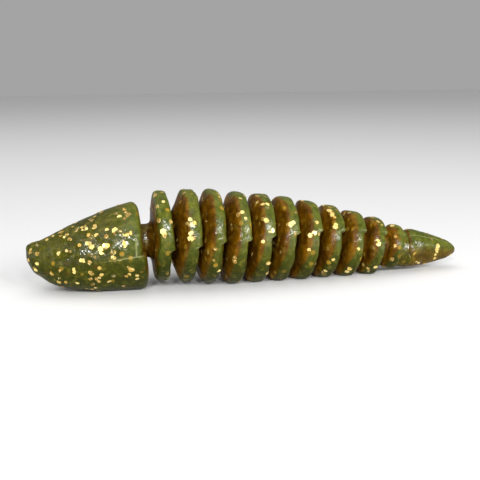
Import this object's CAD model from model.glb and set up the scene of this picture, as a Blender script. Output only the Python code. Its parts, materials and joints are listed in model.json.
import json
from math import asin, cos, pi, radians, sin, tau

import bpy
import numpy as np
from mathutils import Matrix, Vector


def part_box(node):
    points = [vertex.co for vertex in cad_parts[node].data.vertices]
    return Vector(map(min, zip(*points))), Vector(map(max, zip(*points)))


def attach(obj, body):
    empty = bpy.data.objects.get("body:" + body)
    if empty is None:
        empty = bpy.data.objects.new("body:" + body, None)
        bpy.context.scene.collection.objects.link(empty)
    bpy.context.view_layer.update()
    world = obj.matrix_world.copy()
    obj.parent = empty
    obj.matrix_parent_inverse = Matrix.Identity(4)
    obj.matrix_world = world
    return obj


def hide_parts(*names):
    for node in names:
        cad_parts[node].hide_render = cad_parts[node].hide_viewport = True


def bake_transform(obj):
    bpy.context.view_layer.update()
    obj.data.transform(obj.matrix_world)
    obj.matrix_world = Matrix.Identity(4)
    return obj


# Looks of a 40 mm soft plastic trout worm: moulded olive plastic with gold glitter. Everything is in
# metres, in the row frame: +X from nose to tail, +Z up, -Y towards the camera.

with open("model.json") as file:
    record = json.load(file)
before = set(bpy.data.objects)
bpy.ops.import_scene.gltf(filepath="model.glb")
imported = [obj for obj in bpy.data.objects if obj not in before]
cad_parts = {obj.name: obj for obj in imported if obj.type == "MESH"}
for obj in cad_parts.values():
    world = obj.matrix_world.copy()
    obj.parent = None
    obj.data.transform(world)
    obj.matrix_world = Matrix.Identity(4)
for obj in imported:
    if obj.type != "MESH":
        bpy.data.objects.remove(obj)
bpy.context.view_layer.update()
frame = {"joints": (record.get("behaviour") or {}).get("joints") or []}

MM = 0.001
RIBS = 11
RIB_NAMES = [f"rib_{number:02d}" for number in range(1, RIBS + 1)]
LINK_NAMES = ["neck"] + [f"core_{number:02d}" for number in range(1, RIBS + 1)]
BODY_CHAIN = ["head"] + RIB_NAMES + ["tail_cone"]


# ---------------------------------------------------------------- shape helpers


def smooth(low, high, value):
    """0 below low, 1 above high, with a smooth change between."""
    share = np.clip((value - low) / (high - low), 0, 1)
    return share * share * (3 - 2 * share)


def bell(value, centre, width):
    return np.exp(-(((value - centre) / width) ** 2))


def turned_from(angle, turn):
    """How far angle is past turn, from minus pi to pi."""
    return (angle - turn + pi) % tau - pi


def angle_grid(rings, around):
    """The angle of each point on rings that all start at the camera's side."""
    return np.linspace(0, tau, around, endpoint=False)[None, :].repeat(rings, 0)


def through(stations, at):
    """Values at the given places on a smooth curve through (place, value) stations."""
    place, value = np.array(stations, float).T
    slope = np.gradient(value, place)
    left = np.clip(np.searchsorted(place, at) - 1, 0, len(place) - 2)
    width = place[left + 1] - place[left]
    t = np.clip((at - place[left]) / width, 0, 1)
    start = (1 + 2 * t) * (1 - t) ** 2 * value[left] + t * (1 - t) ** 2 * width * slope[left]
    end = t * t * (3 - 2 * t) * value[left + 1] + t * t * (t - 1) * width * slope[left + 1]
    return start + end


def ripple(points, size, seed, waves=14):
    """A smooth random field over space, about -1 to 1, with bumps of the given size."""
    random = np.random.default_rng(seed)
    total = np.zeros(points.shape[:-1])
    for _ in range(waves):
        direction = random.normal(size=3)
        direction /= np.linalg.norm(direction)
        turns = points @ direction * tau / (size * random.uniform(1.6, 3.0))
        total += np.sin(turns + random.uniform(0, tau))
    return total / np.sqrt(waves)


def rest_on_floor(points):
    """The points, with whatever would reach under the floor flattened onto it."""
    blur = 0.035 * MM
    points[..., 2] = blur * np.logaddexp(0, points[..., 2] / blur)
    points[..., 2] -= blur * np.log(2) * np.exp(-points[..., 2] / blur)
    points[..., 2] = np.maximum(points[..., 2], 0)
    return points


def mesh_object(name, points, faces, marks=None):
    """A smooth shaded mesh. marks are named values, one for each point, that materials read."""
    mesh = bpy.data.meshes.new(name)
    mesh.from_pydata(points.reshape(-1, 3).tolist(), [], faces)
    mesh.polygons.foreach_set("use_smooth", [True] * len(mesh.polygons))
    for label, values in (marks or {}).items():
        attribute = mesh.attributes.new(label, "FLOAT", "POINT")
        attribute.data.foreach_set("value", np.asarray(values, np.float32).ravel())
    piece = bpy.data.objects.new(name, mesh)
    bpy.context.scene.collection.objects.link(piece)
    return piece


def ring_faces(rings, around):
    """Quads between neighbouring rings, and a closing face on the first and the last ring."""
    faces = []
    for ring in range(rings - 1):
        for spot in range(around):
            after = (spot + 1) % around
            low = ring * around
            high = low + around
            faces.append((low + spot, high + spot, high + after, low + after))
    faces.append(tuple(range(around)))
    faces.append(tuple(range(rings * around - 1, (rings - 1) * around - 1, -1)))
    return faces


def dress(piece, groove=None):
    """Give a piece the skin plastic, and the duller groove plastic to the faces that groove marks."""
    piece.data.materials.append(skin_plastic)
    piece.data.materials.append(groove_plastic)
    if groove is not None:
        piece.data.polygons.foreach_set("material_index", groove)


# ---------------------------------------------------------------- the frame's stations

joint_at = {joint["name"]: joint for joint in frame["joints"]}
link_centre = [np.array(joint_at[f"{link}_pitch"]["pos_m"]) for link in LINK_NAMES]
link_upright = [np.array(joint_at[f"{link}_yaw"]["axis"]) for link in LINK_NAMES]


class Station:
    """Where a section of the worm stands: its centre, its axis to the tail, and its up direction."""

    def __init__(self, centre, up, radius):
        self.centre = np.array(centre, float)
        self.up = np.array(up) / np.linalg.norm(up)
        self.axis = np.array([self.up[2], 0, -self.up[0]])
        self.radius = radius

    def place(self, forward, out, angle):
        """Points at distances forward and out from the centre, at an angle from the camera's side
        that grows upwards."""
        forward = np.asarray(forward)[..., None]
        out = np.asarray(out)[..., None]
        angle = np.asarray(angle)[..., None]
        side = np.array([0, -1, 0])
        return self.centre + forward * self.axis + out * (np.cos(angle) * side + np.sin(angle) * self.up)


def rib_station(index):
    low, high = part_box(RIB_NAMES[index])
    up = link_upright[index] + link_upright[index + 1]
    up = up / np.linalg.norm(up)
    radius = (high.y - low.y) / 2
    middle = (low.x + high.x) / 2
    return Station((middle, 0, high.z - radius * up[2]), up, radius)


rib_stations = [rib_station(index) for index in range(RIBS)]


def shine(angle):
    """How glossy the skin is: most on the worm's sides, where it touched the polished mould."""
    return 0.08 + 0.92 * bell(np.sin(angle), 0.34, 0.30)


def parting_angle(number):
    """Angle of the mould's parting line above the camera's side. It climbs along the worm."""
    return radians(-15 + 5.6 * number)


def upper_half(angle, number, blur):
    """1 on the upper mould half, 0 on the lower one, with a sharp change at the parting line."""
    turned = np.sin(angle - parting_angle(number))
    return smooth(-blur, blur, turned)


# ---------------------------------------------------------------- ribs

AROUND = 300  # points around the head, the ribs and the tail
MISMATCH = 0.34 * MM  # how far the upper mould half stands towards the tail of the lower one

# The flanks of the ribs that differ from the others, as (half thickness of the rim in mm, roundness
# of its edge in mm, draft).
FRONT_FLANK = {
    1: (0.60, 0.12, 0.06),
    2: (0.36, 0.10, 0.42),
    3: (0.66, 0.34, 0.24),
    4: (0.58, 0.14, 0.26),
    11: (0.76, 0.12, 0.30),
}
REAR_FLANK = {
    1: (0.68, 0.12, 0.06),
    2: (0.88, 0.08, 0.05),
    3: (0.96, 0.34, 0.06),
    11: (0.80, 0.12, 0.10),
}
SIDE_FLANK = (0.48, 0.10, 0.24)  # the front flank on the left and right of the worm


def flank_line(flank, fillet, radius, core):
    """(forward, out) points down one flank of a rib, from its rim to the middle of the core."""
    width, round_edge, draft = flank
    depth = (radius - core - fillet) * np.linspace(0, 1, 38) ** 2
    half = (width * np.sqrt(depth / (depth + round_edge * MM)) + draft * depth / MM) * MM
    turn = np.linspace(0, pi / 2, 9)[1:]
    forward = np.concatenate([half, half[-1] + fillet * (1 - np.cos(turn)), [half[-1] + fillet] * 2])
    out = np.concatenate([radius - depth, core + fillet * (1 - np.sin(turn)), [core * 0.5, 0]])
    return forward, out


def make_rib(index):
    number = index + 1
    station = rib_stations[index]
    radius = station.radius
    share = index / (RIBS - 1)
    core = (1.47 - 0.22 * share) * MM
    front = FRONT_FLANK.get(number, (0.82 - 0.03 * share, 0.085, 0.10))
    rear = REAR_FLANK.get(number, (0.87 - 0.05 * share, 0.085, 0.06))
    fillet = (0.55 if number == 1 else 0.20) * MM
    front_ahead, front_out = flank_line(front, fillet, radius, core)
    side_ahead, _ = flank_line(SIDE_FLANK, fillet, radius, core)
    rear_behind, rear_out = flank_line(rear, 0.24 * MM, radius, core)
    rings = len(front_out) + len(rear_out) - 1
    angle = angle_grid(rings, AROUND)
    out = np.concatenate([front_out[::-1], rear_out[1:]])[:, None].repeat(AROUND, 1)
    steep = smooth(0.70, 0.97, np.abs(np.sin(angle[0])))[None, :]
    if number == 1:
        steep = np.ones_like(steep)
    ahead = side_ahead[::-1, None] * (1 - steep) + front_ahead[::-1, None] * steep
    forward = np.concatenate([-ahead, rear_behind[1:, None].repeat(AROUND, 1)])
    depth = radius - out
    rimness = smooth(core + 0.3 * MM, radius - 0.35 * MM, out)
    upper = upper_half(angle, number, 0.045 + 0.16 * smooth(0.5 * MM, -0.6 * MM, forward))
    # the two mould halves don't meet exactly
    lean = asin(min(1, MISMATCH / 2 / radius))
    forward = forward + rimness * (upper - 0.5) * MISMATCH - rimness * np.sin(angle) * radius * lean
    # thin flash squeezed out at the parting line, on the rim's tail side
    partings = (parting_angle(number), parting_angle(number) + pi)
    for turn in partings:
        tip = bell(turned_from(angle, turn), 0.040, 0.045) * smooth(0.1 * MM, 0.5 * MM, forward)
        tip = tip * smooth(0.6, 1, rimness)
        out = out + 0.03 * MM * tip
        forward = forward + 0.05 * MM * tip
    points = station.place(forward, out, angle)
    wobble = ripple(points, 1.3 * MM, 40 + number)
    wobble_small = ripple(points, 0.45 * MM, 80 + number)
    forward = forward + rimness * 0.045 * MM * ripple(points, 1.1 * MM, 120 + number)
    out = out + rimness * (0.03 * wobble + 0.010 * wobble_small) * MM
    # the foot of the front flank meets the link's own middle
    foot = smooth(core + 1.0 * MM, core + 0.15 * MM, out) * smooth(0, -0.3 * MM, forward)
    ahead_by = (link_centre[index] - station.centre) @ station.axis
    drop = link_centre[index] - station.centre - ahead_by * station.axis
    points = rest_on_floor(station.place(forward, out, angle) + foot[..., None] * drop)
    flash = sum(bell(turned_from(angle, turn), 0, 0.02) for turn in partings)
    # the green skin reaches further forward at the top and low down than on the worm's sides, and
    # covers the whole first rib
    more_at_top = 0.6 * smooth(0.90, 1.04, np.sin(angle))
    more_low_down = 0.42 * smooth(0.1, -0.6, np.sin(angle))
    edge = -(0.40 + more_at_top + more_low_down + (number == 1)) * MM
    green = smooth(1.1 * MM, 0.35 * MM, depth) * smooth(edge - 0.15 * MM, edge + 0.60 * MM, forward)
    marks = {
        "rim": green,
        "outer": smooth(0.50 * MM, 0.15 * MM, depth) * shine(angle) * (0.15 + 0.85 * green),
        "deep": smooth(1.1 * MM, 2.3 * MM, depth),
        "low": smooth(0.35, -0.65, np.sin(angle)),
        "flash": flash * smooth(0.75, 1.0, rimness) * smooth(0.2 * MM, 0.7 * MM, forward),
    }
    name = f"skin_{RIB_NAMES[index]}"
    piece = mesh_object(name, points, ring_faces(rings, AROUND), marks)
    groove = (depth[:-1] > 0.55 * MM).ravel().astype(np.int32)
    dress(piece, np.concatenate([groove, [1, 1]]))
    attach(piece, RIB_NAMES[index])
    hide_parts(RIB_NAMES[index])
    return points


# ---------------------------------------------------------------- head

# Stations behind the nose, as (distance, lowest point, highest point) in millimetres.
HEAD_OUTLINE = [
    (0.0, 2.95, 4.22),
    (0.4, 2.12, 4.40),
    (1.1, 1.52, 4.60),
    (2.1, 0.78, 5.02),
    (3.3, 0.27, 5.60),
    (4.8, -0.03, 6.23),
    (6.6, -0.12, 6.90),
    (7.8, -0.12, 7.30),
    (9.0, -0.12, 7.62),
]
HEAD_RINGS = 150


def make_head():
    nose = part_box("head")[0].x
    outline = np.array(HEAD_OUTLINE) * MM
    lowest = outline[:, [0, 1]]
    highest = outline[:, [0, 2]]
    length = outline[-1, 0]
    along = length * np.linspace(0, 1, HEAD_RINGS) ** 1.15
    low = through(lowest, along)
    high = through(highest, along)
    middle = (low + high) / 2
    radius = (high - low) / 2
    # the nose is cut flat, and its edge is a little rounded
    edge = 0.16 * MM
    inward = edge - np.sqrt(np.maximum(edge**2 - np.maximum(edge - along, 0) ** 2, 0))
    radius = radius - inward
    # then a round shoulder and a flat back, down to the neck
    shoulder = 0.6 * MM
    turn = np.linspace(0, pi / 2, 16)[1:]
    back_along = length + shoulder * np.sin(turn)
    back_radius = radius[-1] - shoulder * (1 - np.cos(turn))
    face = np.linspace(0, 1, 18)[1:]
    face_radius = back_radius[-1] + (1.3 * MM - back_radius[-1]) * face
    face_along = back_along[-1] + 0.12 * MM * np.sin(pi * face)
    all_along = np.concatenate([along, back_along, face_along])
    all_radius = np.concatenate([radius, back_radius, face_radius])
    all_middle = np.concatenate([middle, np.full(len(turn) + len(face), middle[-1])])
    # two more rings at the start close the nose face
    all_along = np.concatenate([[0, 0], all_along])
    all_radius = np.concatenate([[0.05 * MM, radius[0] * 0.6], all_radius])
    all_middle = np.concatenate([[middle[0]] * 2, all_middle])
    rings = len(all_along)
    angle = angle_grid(rings, AROUND)
    x = (nose + all_along)[:, None].repeat(AROUND, 1)
    out = all_radius[:, None].repeat(AROUND, 1)
    backness = smooth(0.45 * length, length, all_along)[:, None]
    parting = radians(-3)
    lower = 1 - smooth(-0.03, 0.03, np.sin(angle - parting))
    # the lower mould half reaches further back, and more so towards the belly
    belly = np.clip(-np.sin(angle), 0, 1)
    x = x + backness * (lower * (0.30 + 0.35 * belly) + 0.04 * (1 - lower)) * MM
    points = np.stack([x, -out * np.cos(angle), all_middle[:, None] + out * np.sin(angle)], -1)
    near_ridge = bell(turned_from(angle, parting), 0.012, 0.012)
    far_ridge = bell(turned_from(angle, parting + pi), 0, 0.012)
    ridge = (near_ridge + far_ridge) * smooth(5.5 * MM, 8.0 * MM, all_along)[:, None]
    # a lip of flash also runs a little way up the shoulder from the parting line
    climb = smooth(parting - 0.03, parting + 0.03, angle) * smooth(parting + 0.42, parting + 0.30, angle)
    climb = climb + smooth(tau + parting - 0.03, tau + parting + 0.03, angle)
    lip = bell(all_along, length + 0.05 * MM, 0.07 * MM)[:, None] * climb
    ridge = np.maximum(ridge, lip)
    step = lower * 0.03 * MM * smooth(1 * MM, 4 * MM, all_along)[:, None]
    wobble = 0.035 * ripple(points, 1.6 * MM, 11) + 0.010 * ripple(points, 0.5 * MM, 12)
    skin = smooth(0, 1.2 * MM, all_along)[:, None]
    out = out + ridge * 0.06 * MM - step + wobble * MM * skin
    points = np.stack([x, -out * np.cos(angle), all_middle[:, None] + out * np.sin(angle)], -1)
    points = rest_on_floor(points)
    side = smooth(length + 1.4 * shoulder, length + 0.5 * shoulder, all_along)[:, None]
    marks = {
        "rim": (0.25 + 0.75 * side) * np.ones_like(out),
        "outer": side * shine(angle),
        "low": smooth(0.35, -0.55, np.sin(angle)),
        "thick": smooth(length + shoulder, length - 2.5 * MM, all_along)[:, None] * np.ones_like(out),
        "flash": ridge * side,
    }
    piece = mesh_object("skin_head", points, ring_faces(rings, AROUND), marks)
    # the flat back, towards the neck, has the duller plastic
    groove = np.zeros((rings - 1, AROUND), np.int32)
    groove[rings - len(face) :] = 1
    dress(piece, np.concatenate([groove.ravel(), [0, 1]]))
    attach(piece, "head")
    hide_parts("head")
    return points


# ---------------------------------------------------------------- tail cone

# Stations behind the cone's front, as (share of its length, share of its front radius).
CONE_OUTLINE = [
    (0.0, 0.90),
    (0.04, 0.985),
    (0.10, 1.0),
    (0.30, 0.92),
    (0.52, 0.77),
    (0.72, 0.59),
    (0.86, 0.42),
    (0.94, 0.27),
    (0.985, 0.12),
    (1.0, 0.0),
]


def make_tail():
    tail_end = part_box("tail_cone")[1].x
    front = link_centre[-1] + np.array([0.12 * MM, 0, 0])
    tip = np.array([tail_end - 0.02 * MM, 0, 1.66 * MM])
    length = np.linalg.norm(tip - front)
    axis = (tip - front) / length
    station = Station(front, (-axis[2], 0, axis[0]), 1.78 * MM)
    outline = np.array(CONE_OUTLINE)
    share = np.concatenate([[0, 0], np.linspace(0, 1, 90) ** 0.9])
    radius = through(outline, share) * station.radius
    radius[0:2] = [0.05 * MM, 1.2 * MM]
    radius[-1] = 0.01 * MM
    radius = np.where(share > 0.97, np.maximum(radius, 0.01 * MM), radius)
    rings = len(share)
    angle = angle_grid(rings, AROUND)
    forward = (share * length)[:, None].repeat(AROUND, 1)
    out = radius[:, None].repeat(AROUND, 1)
    slant = np.tan(radians(8)) * smooth(0.35, 0, share)[:, None]
    forward = forward + slant * out * np.sin(angle)
    points = station.place(forward, out, angle)
    wobble = 0.03 * ripple(points, 1.2 * MM, 21) + 0.008 * ripple(points, 0.4 * MM, 22)
    parting = parting_angle(12)
    ridge = bell(turned_from(angle, parting), 0, 0.02) + bell(turned_from(angle, parting + pi), 0, 0.02)
    relief = wobble * smooth(0, 0.3, share)[:, None] + 0.03 * ridge
    out = out + relief * MM * smooth(1, 0.85, share)[:, None]
    points = rest_on_floor(station.place(forward, out, angle))
    # greener above than below, and amber at the front, where it faces the last groove
    green = (0.32 + 0.28 * smooth(-0.1, 0.6, np.sin(angle))) * smooth(-0.01, 0.05, share)[:, None]
    marks = {
        "rim": 0.3 + green,
        "outer": shine(angle) * (1 - 0.75 * smooth(0.12, 0.40, share)[:, None]),
        "low": smooth(0.3, -0.9, np.sin(angle)),
        "flash": ridge * smooth(1, 0.7, share)[:, None],
    }
    piece = mesh_object("skin_tail_cone", points, ring_faces(rings, AROUND), marks)
    dress(piece)
    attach(piece, "tail_cone")
    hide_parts("tail_cone")
    return points


# ---------------------------------------------------------------- links

LINK_AROUND = 96
LINK_RINGS = 24  # in each half of a link
LINK_GREEN = {0: 0.60, 1: 0.60, 11: 0.76}  # how green the links in wide or shallow grooves are
DEEP_LINK_GREEN = 0.50


def make_link(index):
    """The flexible core between two stations, as two halves that meet at the joint."""
    link = LINK_NAMES[index]
    radius = (1.46 - 0.22 * index / RIBS) * MM
    reach = (1.05 if index == 0 else 0.6) * MM
    station = Station(link_centre[index], link_upright[index], radius)
    halves = (
        ("front", BODY_CHAIN[index], link, -reach, 0),
        ("rear", link, BODY_CHAIN[index + 1], 0, reach),
    )
    for half, first, second, from_here, to_here in halves:
        angle = angle_grid(LINK_RINGS, LINK_AROUND)
        far = np.linspace(from_here, to_here, LINK_RINGS)[:, None].repeat(LINK_AROUND, 1)
        out = np.full_like(far, radius)
        if index == RIBS:
            out = out + (0.32 + 0.24 * smooth(0.5, -0.7, np.sin(angle))) * MM
        points = station.place(far, out, angle)
        out = out + 0.02 * MM * ripple(points, 0.6 * MM, 300 + index)
        points = station.place(far, out, angle)
        browner_below = 0.35 * smooth(0.1, -0.8, np.sin(angle)) * (index < RIBS)
        marks = {
            "rim": LINK_GREEN.get(index, DEEP_LINK_GREEN) - browner_below,
            "outer": shine(angle),
            "low": smooth(0.2, -0.9, np.sin(angle)),
            "flash": np.zeros_like(out),
        }
        faces = ring_faces(LINK_RINGS, LINK_AROUND)
        piece = mesh_object(f"skin_{link}_{half}", points, faces, marks)
        dress(piece)
        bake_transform(piece)
        if half == "front":
            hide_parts(link)


# ---------------------------------------------------------------- glitter

FLAKE_RADIUS = 0.185 * MM
LARGE_FLAKE_RADIUS = 0.24 * MM
FLAKE_THICKNESS = 0.035 * MM
FLAKE_RISE = 0.008 * MM  # how far the middle of a flake's face stands out of the skin

# Angles in degrees above the camera's side where a rib's rim has large bright flakes together.
RIB_CLUSTERS = {
    1: (12,),
    2: (9, 28),
    4: (49,),
    5: (38, 60),
    6: (33,),
    7: (20,),
    8: (63, 33),
    9: (-45,),
    10: (15,),
}

# The part of the way around a ring that lies below, where fewer flakes show.
BELLY = slice(AROUND * 5 // 8, AROUND * 7 // 8)


def grid_spots(points, count, seed, allow):
    """Random spots on a ring grid, as (point, normal), spread over its area as thickly as allow says."""
    random = np.random.default_rng(seed)
    rows = points[1:-1]
    around = (np.roll(rows, -1, 1) - np.roll(rows, 1, 1)) / 2
    along = (points[2:] - points[:-2]) / 2
    normal = np.cross(around, along)
    area = np.linalg.norm(normal, axis=-1)
    weight = area * allow[1:-1] * (rows[..., 2] > 0.15 * MM)
    chosen = random.choice(weight.size, size=count, p=(weight / weight.sum()).ravel())
    flat_points = rows.reshape(-1, 3)[chosen]
    flat_normals = (normal / np.maximum(area, 1e-12)[..., None]).reshape(-1, 3)[chosen]
    return flat_points, flat_normals


def cluster_spots(points, rows, angles, seed):
    """A few spots close together around each (row of the ring grid, angle in degrees)."""
    random = np.random.default_rng(seed)
    spots = []
    for row, angle in zip(rows, angles):
        for _ in range(2):
            near_row = int(np.clip(row + random.integers(-3, 4), 2, len(points) - 3))
            near_angle = int((angle / 360 * AROUND + random.uniform(-4.5, 4.5)) % AROUND)
            around = points[near_row, (near_angle + 1) % AROUND] - points[near_row, near_angle - 1]
            along = points[near_row + 1, near_angle] - points[near_row - 1, near_angle]
            normal = np.cross(around, along)
            spots.append((points[near_row, near_angle], normal / np.linalg.norm(normal)))
    return spots


def make_glitter(name, body, cad_node, points, allow, clusters, count, seed):
    """Thin hexagonal flakes lying in the skin, each tipped a little its own way. Those of the
    clusters, given as rows and angles, are large and bright."""
    random = np.random.default_rng(seed + 1)
    spots = [(spot, normal, False) for spot, normal in zip(*grid_spots(points, count, seed, allow))]
    spots += [(spot, normal, True) for spot, normal in cluster_spots(points, *clusters, seed + 2)]
    verts, faces, glint = [], [], []
    for spot, normal, large in spots:
        normal = Vector(normal)
        if normal.dot(Vector(spot) - Vector(points.reshape(-1, 3).mean(0))) < 0:
            normal = -normal
        tipped = (normal + 0.09 * Vector(random.normal(size=3))).normalized()
        turn = tipped.to_track_quat("Z", "Y").to_matrix() @ Matrix.Rotation(random.uniform(0, tau), 3, "Z")
        radius = (LARGE_FLAKE_RADIUS if large else FLAKE_RADIUS) * random.uniform(0.75, 1.2)
        value = random.uniform(0.7 if large else 0, 1)
        first = len(verts)
        centre = Vector(spot) + normal * FLAKE_RISE
        for level in (-FLAKE_THICKNESS, 0):
            for corner in range(6):
                spread = radius * (1 + 0.08 * random.normal())
                local = Vector((cos(corner * pi / 3) * spread, sin(corner * pi / 3) * spread, level))
                verts.append(centre + turn @ local)
                glint.append(value)
        faces.append([first + corner for corner in range(5, -1, -1)])
        faces.append([first + 6 + corner for corner in range(6)])
        for corner in range(6):
            after = (corner + 1) % 6
            faces.append([first + corner, first + after, first + 6 + after, first + 6 + corner])
    piece = mesh_object(name, np.array(verts), faces, {"glint": glint})
    piece.data.polygons.foreach_set("use_smooth", [False] * len(piece.data.polygons))
    piece.data.materials.append(gold)
    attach(piece, body)
    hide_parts(cad_node)


# ---------------------------------------------------------------- materials

# Colours given as a pair vary between the two shades.
AMBER = ((0.080, 0.026, 0.0003, 1), (0.200, 0.084, 0.0006, 1))  # down in the grooves
OLIVE = ((0.074, 0.096, 0.008, 1), (0.106, 0.122, 0.014, 1))  # thin plastic, in the rims
BULK = ((0.043, 0.047, 0.001, 1), (0.070, 0.070, 0.003, 1))  # thick plastic, in the head
SHADY = ((0.021, 0.028, 0.0007, 1), (0.034, 0.041, 0.0013, 1))  # low down
GROOVE_BOTTOM = (0.035, 0.010, 0.0002, 1)
DARK_MOTTLE = (0.035, 0.030, 0.001, 1)
PALE_MOTTLE = (0.280, 0.230, 0.030, 1)
FLASH_COLOUR = (0.42, 0.44, 0.20, 1)
DEEP_FLAKE_GOLD = (0.36, 0.22, 0.020, 1)
DEEP_FLAKE_BROWN = (0.070, 0.045, 0.003, 1)
DULL_FLAKE = ((0.13, 0.11, 0.015, 1), (0.38, 0.20, 0.022, 1))
BRIGHT_FLAKE = ((0.68, 0.42, 0.06, 1), (1.0, 0.78, 0.26, 1))
FLAKE_GRAIN = (0.95, 0.80, 0.40, 1)


def add(tree, kind, inputs=(), **settings):
    """A new node. inputs are {name or number: value or the socket that feeds it}."""
    node = tree.nodes.new(kind)
    for key, value in settings.items():
        setattr(node, key, value)
    for key, value in dict(inputs).items():
        if isinstance(value, bpy.types.NodeSocket):
            tree.links.new(value, node.inputs[key])
        else:
            node.inputs[key].default_value = value
    return node


def mark(tree, name):
    return add(tree, "ShaderNodeAttribute", attribute_name=name).outputs["Fac"]


def blend_colours(tree, share, first, second):
    mix = add(tree, "ShaderNodeMix", data_type="RGBA")
    for number, value in ((0, share), (6, first), (7, second)):
        if isinstance(value, bpy.types.NodeSocket):
            tree.links.new(value, mix.inputs[number])
        else:
            mix.inputs[number].default_value = value
    return mix.outputs[2]


def noise(tree, scale, detail=2.0, roughness=0.5, distortion=0.0):
    inputs = {
        "Vector": add(tree, "ShaderNodeTexCoord").outputs["Object"],
        "Scale": scale,
        "Detail": detail,
        "Roughness": roughness,
        "Distortion": distortion,
    }
    return add(tree, "ShaderNodeTexNoise", inputs).outputs["Fac"]


def ramp(tree, value, low, high, bottom=0.0, top=1.0):
    node = add(
        tree,
        "ShaderNodeMapRange",
        {"Value": value, "From Min": low, "From Max": high, "To Min": bottom, "To Max": top},
        interpolation_type="SMOOTHSTEP",
    )
    return node.outputs["Result"]


def maths(tree, operation, first, second):
    return add(tree, "ShaderNodeMath", {0: first, 1: second}, operation=operation).outputs[0]


def submerged_flakes(tree, colour):
    """Tints the colour with flakes that lie deeper: soft spots, some brown and some golden."""
    place = add(tree, "ShaderNodeTexCoord").outputs["Object"]
    cells = add(tree, "ShaderNodeTexVoronoi", {"Vector": place, "Scale": 1250.0, "Randomness": 0.9})
    chance = add(tree, "ShaderNodeSeparateColor", {"Color": cells.outputs["Color"]})
    spot = ramp(tree, cells.outputs["Distance"], 0.34, 0.22)
    golden = maths(tree, "MULTIPLY", spot, ramp(tree, chance.outputs["Red"], 0.62, 0.80, 0.0, 0.85))
    brown = maths(tree, "MULTIPLY", spot, ramp(tree, chance.outputs["Green"], 0.60, 0.80, 0.0, 0.70))
    colour = blend_colours(tree, golden, colour, DEEP_FLAKE_GOLD)
    return blend_colours(tree, brown, colour, DEEP_FLAKE_BROWN)


def plastic_material(name, ior, wet_skin):
    """Translucent olive soft plastic: green on the outer skin and amber brown down in the grooves. The
    wet skin, which touched the wall of the mould, also has broken glints."""
    material = bpy.data.materials.new(name)
    material.use_nodes = True
    tree = material.node_tree
    shader = tree.nodes["Principled BSDF"]
    rim = mark(tree, "rim")
    low = mark(tree, "low")
    flash = mark(tree, "flash")
    streaks = noise(tree, 900.0, 3.0, 0.6, 0.4)
    mottle = noise(tree, 1900.0, 4.0, 0.65)
    patches = noise(tree, 330.0, 2.0)
    patch = ramp(tree, patches, 0.35, 0.65)
    olive, bulk, shady = [blend_colours(tree, patch, *shades) for shades in (OLIVE, BULK, SHADY)]
    skin = blend_colours(tree, low, blend_colours(tree, mark(tree, "thick"), olive, bulk), shady)
    amber = blend_colours(tree, ramp(tree, streaks, 0.35, 0.7), *AMBER)
    amber = blend_colours(tree, ramp(tree, mark(tree, "deep"), 0.0, 1.0, 0.0, 0.65), amber, GROOVE_BOTTOM)
    ragged = maths(tree, "MULTIPLY", maths(tree, "SUBTRACT", streaks, 0.5), 0.35)
    edge = maths(tree, "ADD", rim, ragged)
    colour = blend_colours(tree, ramp(tree, edge, 0.35, 0.95), amber, skin)
    colour = blend_colours(tree, ramp(tree, mottle, 0.45, 0.75, 0.0, 0.65), colour, DARK_MOTTLE)
    colour = blend_colours(tree, ramp(tree, mottle, 0.52, 0.25, 0.0, 0.40), colour, PALE_MOTTLE)
    colour = submerged_flakes(tree, colour)
    colour = blend_colours(tree, maths(tree, "MULTIPLY", flash, 0.45), colour, FLASH_COLOUR)
    tree.links.new(colour, shader.inputs["Base Color"])
    shader.inputs["Subsurface Weight"].default_value = 0.45
    shader.inputs["Subsurface Radius"].default_value = (1.0, 0.8, 0.25)
    shader.inputs["Subsurface Scale"].default_value = 0.0008
    shader.inputs["IOR"].default_value = ior
    shader.inputs["Specular IOR Level"].default_value = 0.12
    if wet_skin:
        wet = ramp(tree, noise(tree, 1500.0, 2.0, 0.6, 0.5), 0.40, 0.54)
        wet = maths(tree, "MULTIPLY", wet, ramp(tree, low, 0.0, 0.8, 1.0, 0.0))
        tree.links.new(maths(tree, "MULTIPLY", wet, mark(tree, "outer")), shader.inputs["Coat Weight"])
        shader.inputs["Coat Roughness"].default_value = 0.08
        shader.inputs["Coat IOR"].default_value = 1.65
    rough = ramp(tree, patches, 0.3, 0.7, 0.32, 0.46)
    tree.links.new(rough, shader.inputs["Roughness"])
    wrinkles = noise(tree, 3600.0, 0.6, 0.5, 1.2)
    bump = add(tree, "ShaderNodeBump", {"Height": wrinkles, "Strength": 0.9, "Distance": 0.00006})
    tree.links.new(bump.outputs["Normal"], shader.inputs["Normal"])
    if wet_skin:
        tree.links.new(bump.outputs["Normal"], shader.inputs["Coat Normal"])
    return material


def glitter_material():
    """Gold flakes: some catch the light, and others lie deeper and look orange or brown."""
    material = bpy.data.materials.new("glitter")
    material.use_nodes = True
    tree = material.node_tree
    shader = tree.nodes["Principled BSDF"]
    glint = mark(tree, "glint")
    grain = noise(tree, 9000.0, 1.0)
    dull = blend_colours(tree, ramp(tree, glint, 0.0, 0.3), *DULL_FLAKE)
    bright = blend_colours(tree, ramp(tree, glint, 0.45, 1.0), *BRIGHT_FLAKE)
    colour = blend_colours(tree, ramp(tree, glint, 0.30, 0.58), dull, bright)
    colour = blend_colours(tree, ramp(tree, grain, 0.5, 0.75), colour, FLAKE_GRAIN)
    tree.links.new(colour, shader.inputs["Base Color"])
    shader.inputs["Metallic"].default_value = 0.55
    tree.links.new(ramp(tree, grain, 0.3, 0.7, 0.25, 0.4), shader.inputs["Roughness"])
    return material


# ---------------------------------------------------------------- build the worm

skin_plastic = plastic_material("soft_plastic", 1.40, True)
groove_plastic = plastic_material("soft_plastic_groove", 1.30, False)
gold = glitter_material()

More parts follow.
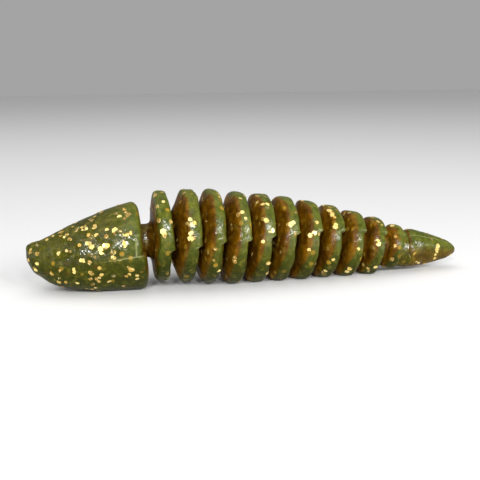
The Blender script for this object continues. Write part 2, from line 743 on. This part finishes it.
head_points = make_head()
rib_points = [make_rib(index) for index in range(RIBS)]
tail_points = make_tail()
for index in range(len(LINK_NAMES)):
    make_link(index)

allow = np.ones(head_points.shape[:2])
allow[:6] = 0
allow[HEAD_RINGS:] = 0
allow[:, BELLY] = 0.35
clusters = ([112, 75, 96, 128], [14, 352, 24, 40])
make_glitter("flakes_head", "head", "glitter_head", head_points, allow, clusters, count=210, seed=500)

for index, points in enumerate(rib_points):
    rib = RIB_NAMES[index]
    rim_row = len(points) // 2
    # most flakes show on the rim, and none where the flanks meet the core
    allow = np.full(points.shape[:2], 0.35)
    allow[:4] = 0
    allow[-4:] = 0
    allow[rim_row - 12 : rim_row + 12] = 1
    allow[:, BELLY] *= 0.5
    angles = RIB_CLUSTERS.get(index + 1, ())
    clusters = ([rim_row - 2] * len(angles), angles)
    flakes = 28 - index
    make_glitter(f"flakes_{rib}", rib, f"glitter_{rib}", points, allow, clusters, flakes, seed=520 + index)

allow = np.ones(tail_points.shape[:2])
allow[:4] = 0
clusters = ([45, 52], [10, 22])
make_glitter("flakes_tail", "tail_cone", "glitter_tail", tail_points, allow, clusters, count=40, seed=540)

# ---------------------------------------------------------------- stage, light and camera


def make_floor():
    reach = 0.6
    corners = np.array([(-reach, -reach, 0), (reach, -reach, 0), (reach, reach, 0), (-reach, reach, 0)])
    floor = mesh_object("floor", corners, [(0, 1, 2, 3)])
    material = bpy.data.materials.new("floor")
    material.use_nodes = True
    shader = material.node_tree.nodes["Principled BSDF"]
    shader.inputs["Base Color"].default_value = (0.90, 0.90, 0.90, 1)
    shader.inputs["Roughness"].default_value = 0.7
    floor.data.materials.append(material)


def area_light(name, place, target, size, power):
    data = bpy.data.lights.new(name, "AREA")
    data.shape = "RECTANGLE"
    data.size, data.size_y = size
    data.energy = power
    light = bpy.data.objects.new(name, data)
    light.location = place
    light.rotation_euler = (Vector(target) - Vector(place)).to_track_quat("-Z", "Y").to_euler()
    bpy.context.scene.collection.objects.link(light)


def make_world():
    world = bpy.data.worlds.new("studio")
    world.use_nodes = True
    background = world.node_tree.nodes["Background"]
    background.inputs["Color"].default_value = (1, 1, 1, 1)
    background.inputs["Strength"].default_value = 0.37
    bpy.context.scene.world = world


def make_camera():
    data = bpy.data.cameras.new("camera")
    data.lens = 60
    data.sensor_width = 36
    data.clip_start = 0.001
    camera = bpy.data.objects.new("camera", data)
    bpy.context.scene.collection.objects.link(camera)
    yaw, tilt, roll = radians(12.26), radians(12), radians(-0.49)
    forward = Vector((sin(yaw) * cos(tilt), cos(yaw) * cos(tilt), -sin(tilt)))
    right = Vector((cos(yaw), -sin(yaw), 0))
    up = right.cross(forward)
    turned_right = right * cos(roll) + up * sin(roll)
    turned_up = up * cos(roll) - right * sin(roll)
    camera.matrix_world = Matrix.LocRotScale(
        Vector((-0.016287, -0.069331, 0.018809)),
        Matrix((turned_right, turned_up, -forward)).transposed().to_quaternion(),
        None,
    )
    bpy.context.scene.camera = camera


make_floor()
make_world()
area_light("top", (-0.05, 0.0, 0.24), (0, 0, 0), (0.32, 0.30), 0.30)
# a row of small bright lights in front gives the wet glints along the worm's side
front_row = ((-0.07, 0.17), (0.005, 0.09), (0.06, 0.10), (0.125, 0.11))
for number, (across, power) in enumerate(front_row, 1):
    area_light(f"front_{number}", (across, -0.18, 0.098), (0, 0, 0.004), (0.018, 0.042), power)
area_light("tail_side", (0.155, -0.125, 0.080), (0.014, 0, 0.002), (0.03, 0.040), 0.05)
make_camera()
bpy.context.scene.view_settings.view_transform = "Standard"
